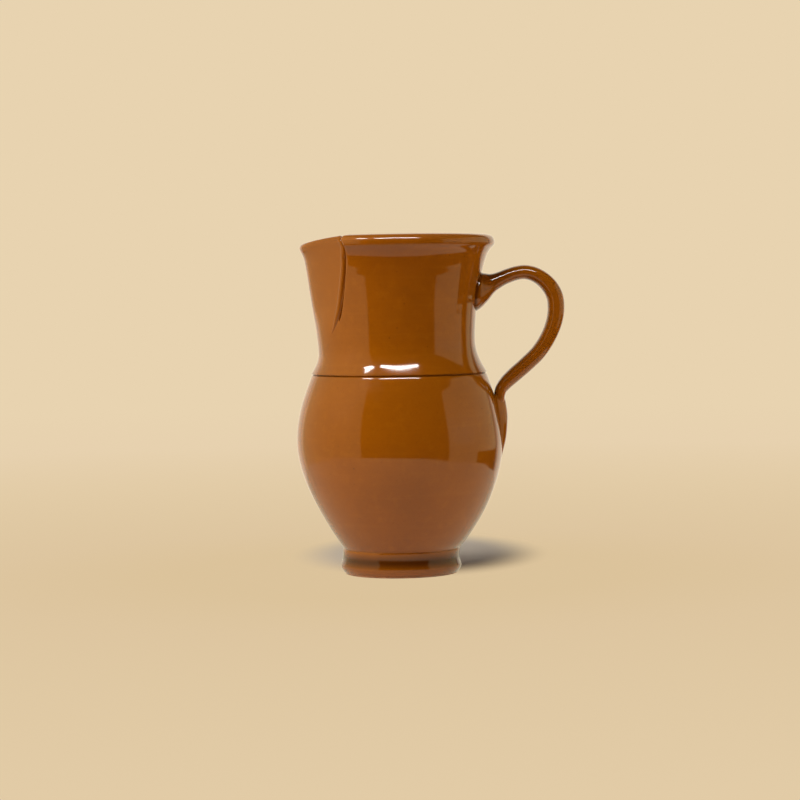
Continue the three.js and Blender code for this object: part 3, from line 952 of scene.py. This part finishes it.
studio = {
    "paleFar": (0.807, 0.651, 0.434),
    "paleBehind": (1.10, 0.95, 0.72),    # what the glaze mirrors of the backdrop
    "paleNear": (0.715, 0.655, 0.470),   # and of the table
    "darkRoom": (0.012, 0.011, 0.010),   # and of the room in front
    "behindFrom": (0.70, 0.84),
    "floorPaper": (0.74, 0.575, 0.375),
    "shadowPaper": (0.50, 0.43, 0.35),
    "fill": 0.06,
    "fillColour": (0.95, 1.0, 1.08),
    "window": 36.0,
    "panel": 0.67,
    "panelColour": (1.0, 0.88, 0.50),
    "daylight": (1.0, 0.985, 0.96),
    "tableLight": (1.0, 0.92, 0.8),
    "tableReach": 0.34,
    "shadowMiddle": (0.014, 0.078),
    "shadowDepth": 0.6,
    "shadowReach": (0.052, 0.10),        # where the floor goes over into its far, even tone
    "shadowMirrored": (0.035, 0.07),
    "mirroredTable": (0.9, 0.2),         # gain out of the shadow, and what is left in it
    "floorDepth": 4.0,
    # The floor's tone, from the jug outwards, in shares of that depth
    "floorTones": [
        (0.0, (0.712, 0.545, 0.330)), (0.04, (0.712, 0.545, 0.328)), (0.08, (0.728, 0.562, 0.352)),
        (0.12, (0.738, 0.575, 0.362)), (0.21, (0.762, 0.600, 0.384)), (0.37, (0.797, 0.637, 0.427)),
        (0.62, (0.807, 0.651, 0.434)),
    ],
}


def distanceFromShadow(tree, place):
    # Distance on the table from the middle of the jug's shadow, which lies long behind it
    x, y = studio["shadowMiddle"]
    squeeze = (1.0, studio["shadowDepth"], 0.0)
    flat = addNode(tree, "VectorMath", {"operation": "MULTIPLY"}, in0=place, in1=squeeze).outputs[0]
    middle = addNode(tree, "CombineXYZ", X=x, Y=y).outputs[0]
    return addNode(tree, "VectorMath", {"operation": "DISTANCE"}, in0=flat, in1=middle).outputs["Value"]


def makeFloor():
    material, tree = newMaterial("paleFloor")
    place = addNode(tree, "TexCoord").outputs["Object"]
    far = addNode(tree, "VectorMath", {"operation": "LENGTH"}, in0=place).outputs["Value"]
    near = distanceFromShadow(tree, place)
    seen = addNode(tree, "LightPath").outputs["Is Camera Ray"]
    paperColour = blendColour(tree, seen, studio["floorPaper"], studio["shadowPaper"])
    paper = addNode(tree, "BsdfDiffuse", Color=paperColour).outputs[0]
    ramp = addNode(tree, "ValToRGB", Fac=doMath(tree, "DIVIDE", far, studio["floorDepth"]))
    tones = studio["floorTones"]
    elements = ramp.color_ramp.elements
    for element, (position, colour) in zip(elements, (tones[0], tones[-1])):
        element.position = position
        element.color = (*colour, 1.0)
    for position, colour in tones[1:-1]:
        elements.new(position).color = (*colour, 1.0)
    glow = addNode(tree, "Emission", Color=ramp.outputs[0], Strength=1.0).outputs[0]
    share = doMath(tree, "MULTIPLY", seen, rampUp(tree, near, *studio["shadowReach"]))
    both = addNode(tree, "MixShader", in0=share, in1=paper, in2=glow)
    addNode(tree, "OutputMaterial", Surface=both.outputs[0])
    bpy.ops.object.select_all(action="DESELECT")
    bpy.ops.mesh.primitive_plane_add(size=60)
    floor = startPiece("floor")
    floor.data.materials.append(material)
    floor.visible_glossy = False


def makeTableCard():
    # What the glaze mirrors of the table: only its near part, as a table's edge would cut it off
    material, tree = newMaterial("paleTable")
    near = distanceFromShadow(tree, addNode(tree, "TexCoord").outputs["Object"])
    outside = rampUp(tree, near, *studio["shadowMirrored"])
    strength = doMath(tree, "MULTIPLY_ADD", outside, *studio["mirroredTable"])
    glow = addNode(tree, "Emission", Color=(*studio["paleNear"], 1.0), Strength=strength)
    addNode(tree, "OutputMaterial", Surface=glow.outputs[0])
    bpy.ops.object.select_all(action="DESELECT")
    reach = studio["tableReach"]
    bpy.ops.mesh.primitive_circle_add(vertices=96, radius=reach, fill_type="NGON", location=(0, 0, 0.0004))
    card = startPiece("tableCard")
    bpy.ops.object.transform_apply()
    card.data.materials.append(material)
    card.visible_camera = False
    card.visible_diffuse = False
    card.visible_shadow = False
    card.visible_transmission = False


def aroundJug(azimuth, reach, height):
    # A place seen from the jug at an angle to the right of the camera
    turn = math.radians(azimuth)
    return (math.sin(turn) * reach, -math.cos(turn) * reach, height)


def addLamp(name, centre, size, radiance, colour=(1.0, 1.0, 1.0), target=(0, 0, 0.14), mirrored=True):
    # A soft rectangular lamp: either the bright shape that the glaze mirrors, or the soft light on the clay
    light = bpy.data.lights.new(name, "AREA")
    light.shape = "RECTANGLE"
    light.size, light.size_y = size
    light.energy = radiance * math.pi * size[0] * size[1]
    light.color = colour
    lamp = bpy.data.objects.new(name, light)
    bpy.context.collection.objects.link(lamp)
    lamp.location = centre
    lamp.rotation_euler = (Vector(centre) - Vector(target)).to_track_quat("Z", "Y").to_euler()
    lamp.visible_camera = False
    lamp.visible_glossy = mirrored
    lamp.visible_diffuse = not mirrored


def makeLights():
    window, panel, tint = studio["window"], studio["panel"], studio["panelColour"]
    addLamp("windowRight", aroundJug(0, 4.2, 5.85), (5.35, 0.75), window)
    addLamp("windowLeft", aroundJug(-53.5, 4.2, 4.9), (1.2, 0.6), window)
    addLamp("leftPanel", (-3.9, 0.5, 2.9), (9.0, 8.8), panel, tint, target=(0, 0.5, 2.9))
    addLamp("rightPanel", (3.9, -1.1, 0.6), (3.1, 3.8), panel, tint, target=(0, -1.1, 0.6))
    addLamp("farPanel", (3.9, 2.2, 1.2), (3.5, 3.1), panel, tint, target=(0, 2.2, 1.2))
    daylight, tableLight = studio["daylight"], studio["tableLight"]
    addLamp("softKey", aroundJug(-42, 2.7, 3.1), (2.0, 2.0), 8.6, daylight, mirrored=False)
    addLamp("softLeft", aroundJug(-76, 3.5, 2.1), (2.6, 2.6), 5.6, daylight, mirrored=False)
    addLamp("softRight", aroundJug(85, 3.9, 0.6), (4.0, 1.0), 7.0, mirrored=False)
    above = (0, -0.4, 1)
    addLamp("tableGlow", (0, -0.4, 0.002), (1.3, 0.72), 0.16, tableLight, target=above, mirrored=False)


def makeWorld():
    world = bpy.data.worlds.new("paleRoom")
    bpy.context.scene.world = world
    world.use_nodes = True
    tree = world.node_tree
    tree.nodes.clear()
    rays = addNode(tree, "LightPath").outputs
    direction = addNode(tree, "TexCoord").outputs["Generated"]
    away = addNode(tree, "SeparateXYZ", Vector=direction).outputs["Y"]
    behind = rampUp(tree, away, *studio["behindFrom"])
    mirrored = blendColour(tree, behind, studio["darkRoom"], studio["paleBehind"])
    fill = tuple(part * studio["fill"] for part in studio["fillColour"])
    colour = blendColour(tree, rays["Is Glossy Ray"], fill, mirrored)
    colour = blendColour(tree, rays["Is Camera Ray"], colour, studio["paleFar"])
    background = addNode(tree, "Background", Color=colour, Strength=1.0)
    addNode(tree, "OutputWorld", Surface=background.outputs[0])


cameraSizes = {
    "distance": 1.8,             # metres
    "aim": (0.8, 0.0, 122.95),
    "pitch": 2.54,               # degrees, as the two below
    "roll": 0.88,
    "view": 17.95,
}


def makeCamera():
    c = cameraSizes
    data = bpy.data.cameras.new("camera")
    data.sensor_width = 36
    data.lens = data.sensor_width / 2 / math.tan(math.radians(c["view"] / 2))
    data.clip_end = 100
    camera = bpy.data.objects.new("camera", data)
    bpy.context.collection.objects.link(camera)
    aim = Vector(c["aim"]) * mm
    pitch = math.radians(c["pitch"])
    back = Vector((0, -math.cos(pitch), math.sin(pitch)))
    camera.location = aim + back * c["distance"]
    facing = back.to_track_quat("Z", "Y").to_matrix()
    turned = facing @ Matrix.Rotation(math.radians(-c["roll"]), 3, "Z")
    camera.rotation_euler = turned.to_euler()
    bpy.context.scene.camera = camera


makeFloor()
makeTableCard()
makeLights()
makeWorld()
makeCamera()
bpy.context.scene.view_settings.view_transform = "Standard"
print("stage, lights and camera in place")
